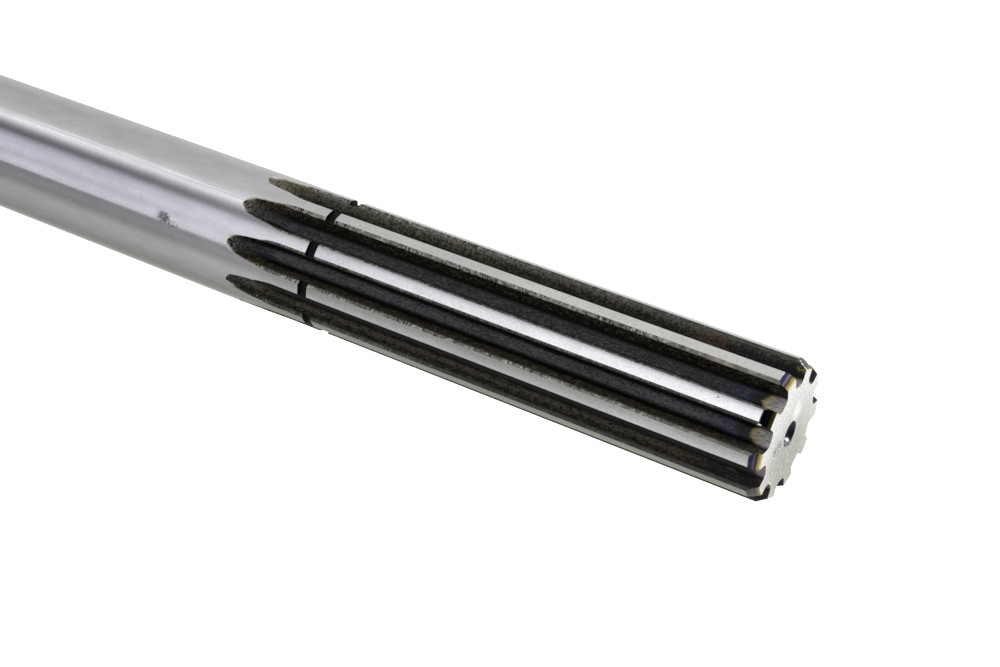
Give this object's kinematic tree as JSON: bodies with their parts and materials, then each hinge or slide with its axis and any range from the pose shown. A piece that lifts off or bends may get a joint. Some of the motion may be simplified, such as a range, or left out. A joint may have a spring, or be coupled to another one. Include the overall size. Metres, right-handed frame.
{
  "type": "final drive axle shaft",
  "caption": "Straight steel drive shaft with a long milled spline, a retaining ring groove and a lead chamfer at one end. The other end is plain.",
  "frame": {"origin": "centre of the plain end's face, which the shaft stands on", "axes": "+Z along the shaft towards its splined end; +X through the middle of one tooth"},
  "size_m": [0.0444, 0.0444, 0.508],
  "materials": {
    "ground_steel": "ground steel, with dark heat scale left in the tooth spaces"
  },
  "bodies": {
    "root": {"axle_shaft": "ground_steel"}
  },
  "joints": []
}
